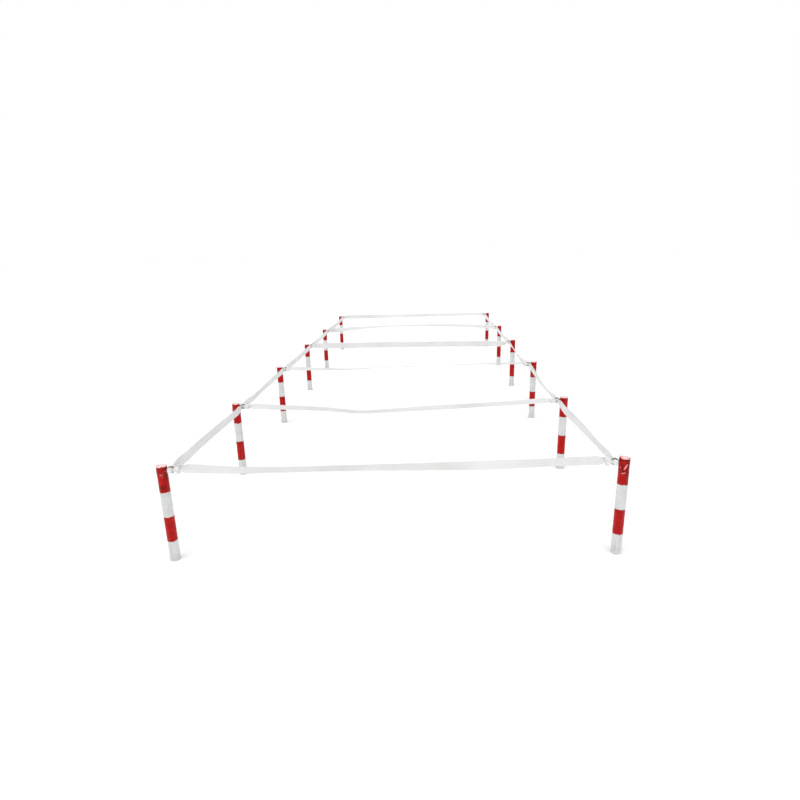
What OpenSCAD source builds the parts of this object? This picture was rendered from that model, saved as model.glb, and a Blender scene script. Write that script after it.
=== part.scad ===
// Low post and webbing lane: two rows of short banded posts with a steel eye at each head. White
// webbing runs through the eyes of each row, and more is tied across the lane between facing eyes.
// Each post stands on a spike that is driven into the ground.
// Millimetres. X runs across the lane, Y along it, Z up. The origin is on the ground at the
// centre of the lane's footprint.

/* [Lane] */
// Distance across the lane, from post axis to post axis
lane_w = 2100; // [1500:50:2600]
// Distance that the right-hand row is set back from the left-hand row
row_shift = 70; // [0:10:150]
// Distance that post 2 of the right-hand row stands in from its row's line
post_inset = 20; // [0:5:40]
// Length of bay 1, at the front
bay_1 = 1010; // [600:10:1500]
// Length of bay 2
bay_2 = 1080; // [600:10:1500]
// Length of bay 3
bay_3 = 1080; // [600:10:1500]
// Length of bay 4
bay_4 = 1020; // [600:10:1500]
// Length of bay 5, at the far end
bay_5 = 1290; // [600:10:1500]

/* [Post] */
// Height of a post above the ground
post_h = 480; // [460:20:700]
// Height of a colour band. The band at the foot takes what is left.
band_h = 125; // [100:5:150]
// Outside diameter of the steel tube
tube_d = 47; // [40:1:60]
// Wall of the steel tube
tube_wall = 2; // [1.5:0.5:3]
// Thickness of the wrapped film
film_t = 0.5; // [0.3:0.1:1]
// Width of the film's fold over the head of the post
film_fold = 4; // [3:1:12]

/* [Head cap] */
// Thickness of the cap's flange
cap_flange = 3; // [2:0.5:4]
// Depth of the cap's plug inside the tube
cap_plug = 7; // [5:1:7]
// Wall of the cap's hollow plug
cap_wall = 2; // [1.5:0.5:3]

/* [Eye] */
// Diameter of the eye's rod
eye_rod = 7; // [6:0.5:8]
// Outside diameter of the eye's ring
eye_od = 36; // [34:1:40]
// Thickness of the eye's shoulder
eye_shoulder = 2; // [1.5:0.5:3]
// Diameter of the eye's threaded shank
eye_shank = 8; // [6:1:8]
// Outside diameter of the insert that holds the shank
insert_d = 11; // [10:0.5:12]

/* [Ground spike] */
// Length of the spike below the ground line
spike_l = 260; // [200:10:400]
// Diameter of the spike
spike_d = 20; // [16:1:25]
// Length of the plug that fits the foot of the tube
plug_l = 40; // [30:5:60]
// Thickness of the collar that the tube stands on
collar_t = 4; // [3:1:6]

/* [Webbing] */
// Width of the flat webbing
web_w = 50; // [40:5:60]
// Thickness of the flat webbing
web_t = 2; // [1.5:0.5:3]
// Length over which the webbing across the lane gathers towards a knot
gather_l = 50; // [40:10:120]
// Length over which the webbing along a row gathers towards an eye
pinch_l = 100; // [60:10:140]
// Width of the gathered webbing at a knot
gather_w = 30; // [16:1:34]
// Thickness of the gathered webbing at a knot
gather_t = 4; // [3:1:8]

/* [Knot] */
// Diameter of a knot of the webbing across the lane
knot_d = 21; // [20:1:24]
// Height of such a knot
knot_h = 40; // [34:2:44]
// Diameter of the stop knot at an end of the webbing along a row
stop_d = 20; // [16:1:22]
// Height of a stop knot, more than the hole of the eye
stop_h = 26; // [24:1:30]

/* [Hidden] */
SIDES = ["left", "right"];
ROWS = [1:6];
function one_a_post(name) = [for (s = SIDES, r = ROWS) str(name, "_", s, "_", r)];
$fn = 64;

RED = [0.72, 0.07, 0.09];
WHITE = [0.9, 0.92, 0.91];
WEBBING = [0.92, 0.92, 0.91];
STEEL = [0.62, 0.63, 0.65];
DARK_STEEL = [0.36, 0.36, 0.38];
PALE_PLASTIC = [0.82, 0.80, 0.78];

// Gap between pieces that fit into each other, and past which a cutter runs
fit_gap = 0.05;
past = 1;

// Post: the tube carries the cap's flange, and the film covers both, in bands of two colours
tube_r = tube_d / 2;
bore_r = tube_r - tube_wall;
film_r = tube_r + film_t;
cap_z = post_h - film_t - cap_flange;
BANDS = 4;

// Eye: its ring is level with the head of the post, on the side of the lane
ring_r = (eye_od - eye_rod) / 2;
ring_x = film_r + eye_shoulder + eye_od / 2;
eye_z = post_h - eye_od / 2;
shoulder_d = eye_shank + 7;
shank_end = 9;
insert_end = 12;
insert_crimp_d = 14;
insert_crimp_t = 3;

// Knot: a loop goes round the innermost stretch of the ring, and the knot lies beside it
knot_gap = 0.2;
knot_x = ring_x + eye_od / 2 + knot_gap + knot_d / 2;
knot_z = eye_z + 2;
knot_round = 4;
loop_x = ring_x + ring_r;
loop_r = eye_rod / 2 + 1.3;
loop_t = 4;
loop_h = 9;

// The webbing along a row is pinched where it goes through the eyes, beside that loop
pinch_x = ring_x - 2.5;
pinch_w = 15;
pinch_t = 8;
stop_x = ring_x - 1;
stop_y = eye_rod / 2 + 0.3 + stop_d / 2;
tip_y = stop_y - stop_d / 2 - knot_gap;

// Spike
tip_l = 30;
tip_r = 2;

// Webbing routes. Each list has even steps along its span.
// Height against the knot's centre, for the six cross webbings from front to back
CROSS_RISE = [
    [4, -9, -13, -11, -10, -11, -8, -1, 4],
    [-2, -15, -31, -54, -46, -36, -26, -15, -4],
    [4, -9, -16, -8, -4, 1, 6, 8, 6],
    [0, -2, -4, -5, -7, -9, -12, -16, -19],
    [2, 12, 20, 24, 25, 24, 20, 13, 6],
    [4, 3, 3, 3, 3, 4, 4, 5, 5]
];
// Bow along the lane, away from the front
CROSS_BOW = [
    [0, 0, 0, 0, 0, 0, 0, 0, 0],
    [0, 0, 0, 0, 0, 0, 0, 0, 0],
    [0, 4, 8, 8, 6, 4, 2, 0, 0],
    [0, 0, 0, 0, 0, 0, 0, 0, 0],
    [0, 60, 105, 125, 130, 120, 95, 55, 0],
    [0, 0, 0, 0, 0, 0, 0, 0, 0]
];
// Lean of the webbing's face from upright, in degrees, with its top edge away from the front
CROSS_LEAN = [
    [58, 76, 84, 82, 78, 68, 62, 70, 62],
    [64, 74, 80, 86, 80, 74, 76, 74, 66],
    [62, 82, 92, 98, 100, 101, 99, 95, 86],
    [8, 10, 12, 14, 14, 12, 10, 10, 8],
    [14, 46, 70, 82, 80, 72, 66, 60, 54],
    [10, 18, 28, 36, 42, 48, 52, 56, 56]
];
// Height against the eyes' centres for the bays of a side webbing, from eye to eye
LEFT_RISE = [
    [0, -4, -1, -2, -5, -8, 0],
    [0, -5, -5, -1, 0, 0, 0],
    [0, -3, -7, -8, -7, -3, 0],
    [0, -6, -10, -9, -6, -2, 0],
    [0, -6, -12, -14, -11, -4, 0]
];
RIGHT_RISE = [
    [0, -7, -5, -4, -7, -12, 0],
    [0, -16, -22, -20, -14, -6, 0],
    [0, -28, -38, -32, -20, -8, 0],
    [0, -3, -9, -13, -10, -4, 0],
    [0, -10, -15, -16, -12, -5, 0]
];
// Lean of a side webbing's face from upright, with its top edge towards the lane. It is upright in
// the eyes.
LEFT_LEAN = [
    [0, 2, 4, 6, 8, 8, 0],
    [0, 12, 18, 16, 12, 10, 0],
    [0, 5, 9, 8, 6, 5, 0],
    [0, 3, 5, 8, 6, 3, 0],
    [0, -4, -2, 4, 8, 4, 0]
];
RIGHT_LEAN = [
    [0, 16, 10, 2, -2, 0, 0],
    [0, 26, 27, 17, 7, 2, 0],
    [0, 8, 12, 18, 25, 20, 0],
    [0, 3, 6, 8, 6, 3, 0],
    [0, 4, 8, 6, 2, -2, 0]
];
CROSS_STEPS = 44;
SIDE_STEPS = 26;

// Distance of each row of posts from the front row
BAYS = [bay_1, bay_2, bay_3, bay_4, bay_5];
function sum_to(list, n) = n == 0 ? 0 : list[n - 1] + sum_to(list, n - 1);
lane_l = sum_to(BAYS, len(BAYS));
function row_y(r) = sum_to(BAYS, r - 1) - lane_l / 2;

// Side of a post: -1 on the left, 1 on the right
function side_sign(s) = s == "left" ? -1 : 1;

// Distance that a side's row lies back from the middle of the two
function row_back(s) = side_sign(s) * row_shift / 2;

// Distance that a post stands in from its row's line, towards the lane
function inset(s, r) = s == "right" && r == 2 ? post_inset : 0;

// Lower edge of a colour band, counted down from the head as 0
function band_foot(b) = b == BANDS - 1 ? 0 : post_h - (b + 1) * band_h;

// Smooth curve through evenly spaced values, at a share u of its length
function curve_at(v, u) =
    let (
        n = len(v) - 1,
        i = min(n - 1, floor(u * n)),
        t = u * n - i,
        a = v[max(i - 1, 0)],
        b = v[i],
        c = v[i + 1],
        d = v[min(i + 2, n)]
    )
    b + t * (c - a) / 2 + t * t * (a - 2.5 * b + 2 * c - d / 2)
        + t * t * t * (1.5 * (b - c) + (d - a) / 2);

// 0 at an end of a span, 1 where the webbing has opened to its full width
function opened(distance, length) =
    let (t = min(1, distance / length))
    t * t * (3 - 2 * t);

// Flat outline with its four corners cut, in width and thickness
function section(w, t) =
    let (c = t * 0.3)
    [
        [w / 2, t / 2 - c], [w / 2 - c, t / 2], [c - w / 2, t / 2], [-w / 2, t / 2 - c],
        [-w / 2, c - t / 2], [c - w / 2, -t / 2], [w / 2 - c, -t / 2], [w / 2, c - t / 2]
    ];

// Outlines of webbing that runs a distance of span along X from a point and ends set over by shift
// along Y, with lists of its rise along Z, its bow along Y and its lean from upright. Both of its
// ends are gathered over a length to a width and a thickness.
function span_outlines(at, span, shift, rise, bow, lean, steps, end_l, end_w, end_t, first = 0) = [
    for (k = [first:steps])
        let (
            u = (1 - cos(180 * k / steps)) / 2,
            o = opened(span * min(u, 1 - u), end_l),
            w = end_w + (web_w - end_w) * o,
            t = end_t + (web_t - end_t) * o,
            a = curve_at(lean, u)
        )
        [
            for (p = section(w, t))
                at + [
                    span * u,
                    shift * u + curve_at(bow, u) + p[0] * sin(a) + p[1] * cos(a),
                    curve_at(rise, u) + p[0] * cos(a) - p[1] * sin(a)
                ]
        ]
];

// Solid through a list of outlines
module strap(outlines) {
    sides = len(outlines[0]);
    last = len(outlines) - 1;
    walls = [
        for (k = [0:last - 1], j = [0:sides - 1])
            let (
                a = k * sides + j,
                b = k * sides + (j + 1) % sides,
                c = a + sides,
                d = b + sides
            )
            each [[a, c, d], [a, d, b]]
    ];
    near_end = [for (j = [0:sides - 1]) j];
    far_end = [for (j = [sides - 1:-1:0]) last * sides + j];
    polyhedron([for (outline = outlines, p = outline) p], concat([near_end], walls, [far_end]));
}

// Puts a child at a post, with the lane on the child's +X side
module at_post(s, r) {
    translate([side_sign(s) * (lane_w / 2 - inset(s, r)), row_y(r) + row_back(s), 0])
        rotate([0, 0, s == "left" ? 0 : 180])
            children();
}

// One child at every post
module at_each_post() {
    for (s = SIDES, r = ROWS)
        at_post(s, r)
            children();
}

// Cylinder that lies along X, from x0 to x1, at the eye's height
module eye_cylinder(d, x0, x1) {
    translate([x0, 0, eye_z])
        rotate([0, 90, 0])
            cylinder(d = d, h = x1 - x0);
}

// Upright tube of a post, drilled on the side of the lane for the insert
module post_tube(s, r) {
    color(STEEL)
        at_post(s, r)
            difference() {
                cylinder(r = tube_r, h = cap_z);
                translate([0, 0, -past])
                    cylinder(r = bore_r, h = cap_z + 2 * past);
                eye_cylinder(insert_d + 2 * fit_gap, 0, tube_r + past);
            }
}

// Plain sleeve of film between two heights
module film_sleeve(z0, z1) {
    translate([0, 0, z0])
        difference() {
            cylinder(r = film_r, h = z1 - z0);
            translate([0, 0, -past])
                cylinder(r = tube_r, h = z1 - z0 + 2 * past);
        }
}

// Sleeve at the head of the post, folded over the cap and pierced by the eye's shank
module head_sleeve(z0) {
    difference() {
        translate([0, 0, z0])
            cylinder(r = film_r, h = post_h - z0);
        translate([0, 0, z0 - past])
            cylinder(r = tube_r, h = post_h - film_t - z0 + past);
        translate([0, 0, z0])
            cylinder(r = film_r - film_fold, h = post_h - z0 + past);
        eye_cylinder(eye_shank + 2 * film_t, 0, film_r + past);
    }
}

// Red film: the band at the head, and every second band below it
module red_film(s, r) {
    color(RED)
        at_post(s, r) {
            head_sleeve(band_foot(0));
            for (b = [2:2:BANDS - 1])
                film_sleeve(band_foot(b), band_foot(b - 1));
        }
}

// White film: the bands between the red ones, down to the ground
module white_film(s, r) {
    color(WHITE)
        at_post(s, r)
            for (b = [1:2:BANDS - 1])
                film_sleeve(band_foot(b), band_foot(b - 1));
}

// Eye bolt: a closed ring that stands across the lane, a shoulder and a shank
module eye_bolt(s, r) {
    color(DARK_STEEL)
        at_post(s, r)
            union() {
                translate([ring_x, 0, eye_z])
                    rotate([90, 0, 0])
                        rotate_extrude()
                            translate([ring_r, 0])
                                circle(d = eye_rod, $fn = 32);
                eye_cylinder(shoulder_d, film_r, film_r + eye_shoulder);
                eye_cylinder(eye_shank, shank_end, film_r + eye_shoulder + eye_rod / 2);
            }
}

// Insert in the tube's wall that the eye's shank screws into, crimped behind the wall
module threaded_insert() {
    crimp_x = sqrt(pow(bore_r, 2) - pow(insert_crimp_d / 2, 2)) - fit_gap;
    difference() {
        union() {
            eye_cylinder(insert_d, insert_end, sqrt(pow(tube_r, 2) - pow(insert_d / 2, 2)));
            eye_cylinder(insert_crimp_d, crimp_x - insert_crimp_t, crimp_x);
        }
        eye_cylinder(eye_shank + 2 * fit_gap, 0, tube_r + past);
    }
}

module threaded_inserts() {
    color(STEEL)
        at_each_post()
            threaded_insert();
}

// Cap that closes the head of the tube, with a hollow plug
module head_caps() {
    color(PALE_PLASTIC)
        at_each_post()
            translate([0, 0, cap_z])
                union() {
                    cylinder(r = tube_r - fit_gap, h = cap_flange);
                    translate([0, 0, -cap_plug])
                        difference() {
                            cylinder(r = bore_r - fit_gap, h = cap_plug);
                            translate([0, 0, -past])
                                cylinder(r = bore_r - cap_wall, h = cap_plug + past);
                        }
                }
}

// Spike with a plug for the foot of the tube, a collar that the tube stands on and a blunt tip
module ground_spikes() {
    color(DARK_STEEL)
        at_each_post()
            union() {
                cylinder(r = bore_r - fit_gap, h = plug_l);
                translate([0, 0, -collar_t])
                    cylinder(r = tube_r, h = collar_t);
                translate([0, 0, tip_l - spike_l])
                    cylinder(d = spike_d, h = spike_l - tip_l - collar_t);
                translate([0, 0, -spike_l])
                    cylinder(r1 = tip_r, r2 = spike_d / 2, h = tip_l);
            }
}

// Knots of the cross webbings, each beside a ring with a loop round the ring's rod, and stop knots
// outside the first and last eyes of each row
module webbing_knots() {
    color(WEBBING)
        at_each_post()
            union() {
                translate([knot_x, 0, knot_z - knot_h / 2])
                    barrel(knot_d, knot_h);
                translate([loop_x, 0, eye_z - loop_h / 2])
                    difference() {
                        cylinder(r = loop_r + loop_t, h = loop_h);
                        translate([0, 0, -past])
                            cylinder(r = loop_r, h = loop_h + 2 * past);
                    }
            }
    color(WEBBING)
        for (s = SIDES, r = [1, 6])
            at_post(s, r)
                translate([stop_x, side_sign(s) * (r == 1 ? 1 : -1) * stop_y, eye_z - stop_h / 2])
                    barrel(stop_d, stop_h);
}

// Upright barrel with rounded ends
module barrel(d, h) {
    r = d / 2;
    rotate_extrude() {
        square([r - knot_round, h]);
        translate([0, knot_round])
            square([r, h - 2 * knot_round]);
        for (z = [knot_round, h - knot_round])
            translate([r - knot_round, z])
                circle(r = knot_round, $fn = 32);
    }
}

// Webbing across the lane, from knot to knot
module cross_webbing(r) {
    start_x = knot_x + knot_d / 2 + knot_gap;
    start = [start_x + inset("left", r) - lane_w / 2, row_y(r) + row_back("left"), knot_z];
    span = lane_w - 2 * start_x - inset("left", r) - inset("right", r);
    color(WEBBING)
        strap(span_outlines(
            start, span, row_shift,
            CROSS_RISE[r - 1], CROSS_BOW[r - 1], CROSS_LEAN[r - 1],
            CROSS_STEPS, gather_l, gather_w, gather_t
        ));
}

// Webbing along one row of posts, through the row's eyes, from stop knot to stop knot. In its own
// frame it runs along X from the front eye, with Y towards the lane.
module side_webbing(s) {
    straight = [0, 0];
    last = len(BAYS) - 1;
    rise = s == "left" ? LEFT_RISE : RIGHT_RISE;
    lean = s == "left" ? LEFT_LEAN : RIGHT_LEAN;
    ends = [[-tip_y, inset(s, 1)], [lane_l + tip_y, inset(s, last + 2)]];
    tips = [for (e = ends) [for (p = section(pinch_w, pinch_t)) [e[0], e[1] + p[1], p[0]]]];
    bays = [
        for (b = [0:last])
            each span_outlines(
                [sum_to(BAYS, b), inset(s, b + 1), 0], BAYS[b], inset(s, b + 2) - inset(s, b + 1),
                rise[b], straight, lean[b],
                SIDE_STEPS, pinch_l, pinch_w, pinch_t, b == 0 ? 0 : 1
            )
    ];
    color(WEBBING)
        translate([side_sign(s) * (lane_w / 2 - pinch_x), row_y(1) + row_back(s), eye_z])
            mirror([side_sign(s) > 0 ? 1 : 0, 0, 0])
                rotate([0, 0, 90])
                    mirror([0, 1, 0])
                        strap(concat([tips[0]], bays, [tips[1]]));
}

for (s = SIDES, r = ROWS) {
    post_tube(s, r);
    red_film(s, r);
    white_film(s, r);
    eye_bolt(s, r);
}
for (r = ROWS)
    cross_webbing(r);
for (s = SIDES)
    side_webbing(s);
webbing_knots();
head_caps();
threaded_inserts();
ground_spikes();
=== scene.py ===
"""Looks of the low post and webbing lane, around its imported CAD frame. All sizes are in metres."""
import math

import bpy
import numpy as np
from mathutils import Matrix, Vector


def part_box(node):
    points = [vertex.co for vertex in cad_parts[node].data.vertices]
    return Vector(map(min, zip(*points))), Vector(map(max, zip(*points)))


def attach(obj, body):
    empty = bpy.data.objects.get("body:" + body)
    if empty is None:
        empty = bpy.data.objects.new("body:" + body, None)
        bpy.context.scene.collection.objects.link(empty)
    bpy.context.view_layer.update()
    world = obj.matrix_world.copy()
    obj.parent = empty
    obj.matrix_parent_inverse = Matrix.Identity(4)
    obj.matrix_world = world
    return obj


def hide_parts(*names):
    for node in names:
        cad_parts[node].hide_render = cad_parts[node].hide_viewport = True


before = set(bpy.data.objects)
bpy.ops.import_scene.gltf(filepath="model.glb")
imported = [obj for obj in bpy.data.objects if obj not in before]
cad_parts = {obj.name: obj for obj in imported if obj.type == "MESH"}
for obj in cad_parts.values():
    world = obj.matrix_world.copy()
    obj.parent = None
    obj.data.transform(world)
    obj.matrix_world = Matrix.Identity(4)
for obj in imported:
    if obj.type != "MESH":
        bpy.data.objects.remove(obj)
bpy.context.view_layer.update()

SIDES = ("left", "right")
ROWS = range(1, 7)
ROOT = "root"
MM = 0.001

# Sizes that the frame doesn't state on its own. The webbing gathers at a knot and is pinched in an
# eye: each has its length, its width there and the height of its pleats.
WEB_W = 0.050
WEB_T = 0.0018
GATHER_L = 0.050
GATHER_W = 0.030
GATHER_FOLD = 0.0028
PINCH_L = 0.100
PINCH_W = 0.015
PINCH_FOLD = 0.0030
PLEATS = 2.5
KNOT_D = 0.021
KNOT_H = 0.040
KNOT_RISE = 0.002
STOP_D = 0.020
STOP_H = 0.026
STOP_GAP = 0.0003
GAP = 0.0002
EYE_ROD = 0.007
BANDS = 4
BAND_H = 0.125

# Routes of the webbing, as part.scad has them. Each list has even steps from knot to knot, or from
# eye to eye along a row. Rises and bows are in millimetres, and leans are in degrees.
CROSS_RISE_MM = [
    [4, -9, -13, -11, -10, -11, -8, -1, 4],
    [-2, -15, -31, -54, -46, -36, -26, -15, -4],
    [4, -9, -16, -8, -4, 1, 6, 8, 6],
    [0, -2, -4, -5, -7, -9, -12, -16, -19],
    [2, 12, 20, 24, 25, 24, 20, 13, 6],
    [4, 3, 3, 3, 3, 4, 4, 5, 5],
]
CROSS_BOW_MM = [
    [0, 0, 0, 0, 0, 0, 0, 0, 0],
    [0, 0, 0, 0, 0, 0, 0, 0, 0],
    [0, 4, 8, 8, 6, 4, 2, 0, 0],
    [0, 0, 0, 0, 0, 0, 0, 0, 0],
    [0, 60, 105, 125, 130, 120, 95, 55, 0],
    [0, 0, 0, 0, 0, 0, 0, 0, 0],
]
CROSS_LEAN = [
    [58, 76, 84, 82, 78, 68, 62, 70, 62],
    [64, 74, 80, 86, 80, 74, 76, 74, 66],
    [62, 82, 92, 98, 100, 101, 99, 95, 86],
    [8, 10, 12, 14, 14, 12, 10, 10, 8],
    [14, 46, 70, 82, 80, 72, 66, 60, 54],
    [10, 18, 28, 36, 42, 48, 52, 56, 56],
]
SIDE_RISE_MM = {
    "left": [
        [0, -4, -1, -2, -5, -8, 0],
        [0, -5, -5, -1, 0, 0, 0],
        [0, -3, -7, -8, -7, -3, 0],
        [0, -6, -10, -9, -6, -2, 0],
        [0, -6, -12, -14, -11, -4, 0],
    ],
    "right": [
        [0, -7, -5, -4, -7, -12, 0],
        [0, -16, -22, -20, -14, -6, 0],
        [0, -28, -38, -32, -20, -8, 0],
        [0, -3, -9, -13, -10, -4, 0],
        [0, -10, -15, -16, -12, -5, 0],
    ],
}
SIDE_LEAN = {
    "left": [
        [0, 2, 4, 6, 8, 8, 0],
        [0, 12, 18, 16, 12, 10, 0],
        [0, 5, 9, 8, 6, 5, 0],
        [0, 3, 5, 8, 6, 3, 0],
        [0, -4, -2, 4, 8, 4, 0],
    ],
    "right": [
        [0, 16, 10, 2, -2, 0, 0],
        [0, 26, 27, 17, 7, 2, 0],
        [0, 8, 12, 18, 25, 20, 0],
        [0, 3, 6, 8, 6, 3, 0],
        [0, 4, 8, 6, 2, -2, 0],
    ],
}


# ---------------------------------------------------------------- places, from the frame

def side_sign(side):
    return -1 if side == "left" else 1


def centre(node):
    low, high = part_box(node)
    return (low + high) / 2


def post_centre(side, row):
    c = centre(f"post_tube_{side}_{row}")
    return np.array([c.x, c.y, 0.0])


film_low, film_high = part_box("red_film_left_1")
FILM_R = (film_high.x - film_low.x) / 2
POST_H = film_high.z
tube_low, tube_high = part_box("post_tube_left_1")
TUBE_R = (tube_high.x - tube_low.x) / 2
eye_low, eye_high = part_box("eye_bolt_left_1")
EYE_OD = eye_high.z - eye_low.z
EYE_Z = (eye_high.z + eye_low.z) / 2
EYE_REACH = eye_high.x - post_centre("left", 1)[0]
RING_X = EYE_REACH - EYE_OD / 2
RING_R = (EYE_OD - EYE_ROD) / 2
KNOT_X = EYE_REACH + GAP + KNOT_D / 2
KNOT_Z = EYE_Z + KNOT_RISE
PINCH_X = RING_X - 0.0025
STOP_X = RING_X - 0.001
STOP_Y = EYE_ROD / 2 + STOP_GAP + STOP_D / 2


# ---------------------------------------------------------------- camera, lights and floor

CAMERA_AT = (0.1583, -5.0001, 1.4140)
CAMERA_LEFT = math.radians(2.855)
CAMERA_DOWN = math.radians(15.873)
CAMERA_ROLL = math.radians(-1.399)
CAMERA_LENS = 24.186
FLOOR_W = 120


def add_camera():
    data = bpy.data.cameras.new("camera")
    data.lens = CAMERA_LENS
    data.sensor_width = 36
    camera = bpy.data.objects.new("camera", data)
    turn = Matrix.Rotation(CAMERA_LEFT, 4, "Z")
    tilt = Matrix.Rotation(math.pi / 2 - CAMERA_DOWN, 4, "X")
    roll = Matrix.Rotation(CAMERA_ROLL, 4, "Z")
    camera.matrix_world = Matrix.Translation(CAMERA_AT) @ turn @ tilt @ roll
    bpy.context.scene.collection.objects.link(camera)
    bpy.context.scene.camera = camera


def aimed(at, target):
    """A matrix at a point, with its -Z towards the target."""
    away = Vector(at) - Vector(target)
    return Matrix.Translation(at) @ away.to_track_quat("Z", "Y").to_matrix().to_4x4()


def add_light(name, kind, at, target, energy, **settings):
    data = bpy.data.lights.new(name, kind)
    data.energy = energy
    for key, value in settings.items():
        setattr(data, key, value)
    light = bpy.data.objects.new(name, data)
    light.matrix_world = aimed(at, target)
    bpy.context.scene.collection.objects.link(light)


def add_lights():
    soft = math.radians(80)
    add_light("key", "SUN", (-1, -4, 6), (0, 0, 0), 1.3, angle=soft)
    add_light("side_left", "SUN", (-8.7, -1, 5), (0, 0, 0), 1.2, angle=soft)
    add_light("side_right", "SUN", (8.7, -1, 5), (0, 0, 0), 1.15, angle=soft)
    lamp = {"shape": "RECTANGLE", "size": 0.32, "size_y": 0.22}
    add_light("lamp_front_left", "AREA", (-2.6, -6.4, 2.7), (0, -1.5, 0.3), 17, **lamp)
    add_light("lamp_front_right", "AREA", (2.9, -6.2, 2.4), (0, -1.0, 0.3), 15, **lamp)
    add_light("lamp_back", "AREA", (-1.8, 7.0, 2.8), (0, 1.5, 0.3), 15, **lamp)


def set_world():
    """White where the camera sees it, and a softer grey as a light."""
    world = bpy.data.worlds.new("studio")
    world.use_nodes = True
    bpy.context.scene.world = world
    tree = world.node_tree
    tree.nodes.clear()
    seen = tree.nodes.new("ShaderNodeBackground")
    seen.inputs["Color"].default_value = (1, 1, 1, 1)
    light = tree.nodes.new("ShaderNodeBackground")
    light.inputs["Color"].default_value = (0.97, 0.985, 1, 1)
    light.inputs["Strength"].default_value = 0.44
    path = tree.nodes.new("ShaderNodeLightPath")
    mix = tree.nodes.new("ShaderNodeMixShader")
    out = tree.nodes.new("ShaderNodeOutputWorld")
    tree.links.new(path.outputs["Is Camera Ray"], mix.inputs["Fac"])
    tree.links.new(light.outputs[0], mix.inputs[1])
    tree.links.new(seen.outputs[0], mix.inputs[2])
    tree.links.new(mix.outputs[0], out.inputs["Surface"])


def add_floor():
    half = FLOOR_W / 2
    mesh = bpy.data.meshes.new("floor")
    corners = [(-half, -half, 0), (half, -half, 0), (half, half, 0), (-half, half, 0)]
    mesh.from_pydata(corners, [], [(0, 1, 2, 3)])
    floor = bpy.data.objects.new("floor", mesh)
    bpy.context.scene.collection.objects.link(floor)
    mesh.materials.append(floor_material())


# ---------------------------------------------------------------- materials

class Shader:
    """A material's node tree, with short calls for the nodes that these materials use."""

    def __init__(self, name, roughness=0.5, **constants):
        self.material = bpy.data.materials.new(name)
        self.material.use_nodes = True
        self.tree = self.material.node_tree
        self.tree.nodes.clear()
        out = self.tree.nodes.new("ShaderNodeOutputMaterial")
        self.bsdf = self.tree.nodes.new("ShaderNodeBsdfPrincipled")
        self.link(self.bsdf.outputs[0], out.inputs["Surface"])
        self.bsdf.inputs["Roughness"].default_value = roughness
        for key, value in constants.items():
            self.bsdf.inputs[key.replace("_", " ")].default_value = value
        self.place = self.tree.nodes.new("ShaderNodeTexCoord")

    def link(self, source, socket):
        self.tree.links.new(source, socket)

    def feed(self, value, socket):
        if isinstance(value, bpy.types.NodeSocket):
            self.link(value, socket)
        else:
            socket.default_value = value

    def scaled(self, scale):
        """The object's own coordinates, scaled."""
        node = self.tree.nodes.new("ShaderNodeMapping")
        node.inputs["Scale"].default_value = scale
        self.link(self.place.outputs["Object"], node.inputs["Vector"])
        return node.outputs[0]

    def noise(self, scale, detail=4, stretch=(1, 1, 1), distortion=0.0):
        node = self.tree.nodes.new("ShaderNodeTexNoise")
        node.inputs["Scale"].default_value = scale
        node.inputs["Detail"].default_value = detail
        node.inputs["Distortion"].default_value = distortion
        self.link(self.scaled(stretch), node.inputs["Vector"])
        return node.outputs["Fac"]

    def cracks(self, scale):
        node = self.tree.nodes.new("ShaderNodeTexVoronoi")
        node.feature = "DISTANCE_TO_EDGE"
        node.inputs["Scale"].default_value = scale
        self.link(self.scaled((1, 1, 1)), node.inputs["Vector"])
        return node.outputs["Distance"]

    def math(self, operation, a, b=0.0):
        node = self.tree.nodes.new("ShaderNodeMath")
        node.operation = operation
        self.feed(a, node.inputs[0])
        self.feed(b, node.inputs[1])
        return node.outputs[0]

    def spread(self, value, low, high, to_low=0.0, to_high=1.0):
        """value from low..high to to_low..to_high, held at both ends."""
        node = self.tree.nodes.new("ShaderNodeMapRange")
        self.feed(value, node.inputs["Value"])
        limits = {"From Min": low, "From Max": high, "To Min": to_low, "To Max": to_high}
        for key, number in limits.items():
            node.inputs[key].default_value = number
        return node.outputs[0]

    def mix(self, share, a, b):
        node = self.tree.nodes.new("ShaderNodeMix")
        node.data_type = "RGBA"
        self.feed(share, node.inputs["Factor"])
        for value, socket in ((a, node.inputs[6]), (b, node.inputs[7])):
            self.feed((*value, 1) if isinstance(value, tuple) else value, socket)
        return node.outputs[2]

    def bump(self, height, distance, strength=1.0, over=None):
        node = self.tree.nodes.new("ShaderNodeBump")
        node.inputs["Distance"].default_value = distance
        node.inputs["Strength"].default_value = strength
        self.link(height, node.inputs["Height"])
        if over is not None:
            self.link(over, node.inputs["Normal"])
        return node.outputs[0]

    def set(self, **sockets):
        for key, source in sockets.items():
            self.link(source, self.bsdf.inputs[key.replace("_", " ")])
        return self.material

    def attribute(self, name):
        node = self.tree.nodes.new("ShaderNodeAttribute")
        node.attribute_name = name
        return node.outputs["Fac"]

    def height_over_ground(self):
        node = self.tree.nodes.new("ShaderNodeSeparateXYZ")
        self.link(self.place.outputs["Object"], node.inputs[0])
        return node.outputs["Z"]


SOIL = (0.33, 0.27, 0.20)
RUST = (0.22, 0.10, 0.05)
YARN = 0.0018
PICK = 0.0015


def floor_material():
    s = Shader("floor_pale", roughness=0.9, Specular_IOR_Level=0.1)
    mottle = s.noise(0.7, detail=6)
    return s.set(Base_Color=s.mix(mottle, (0.93, 0.93, 0.93), (0.97, 0.97, 0.97)))


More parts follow.
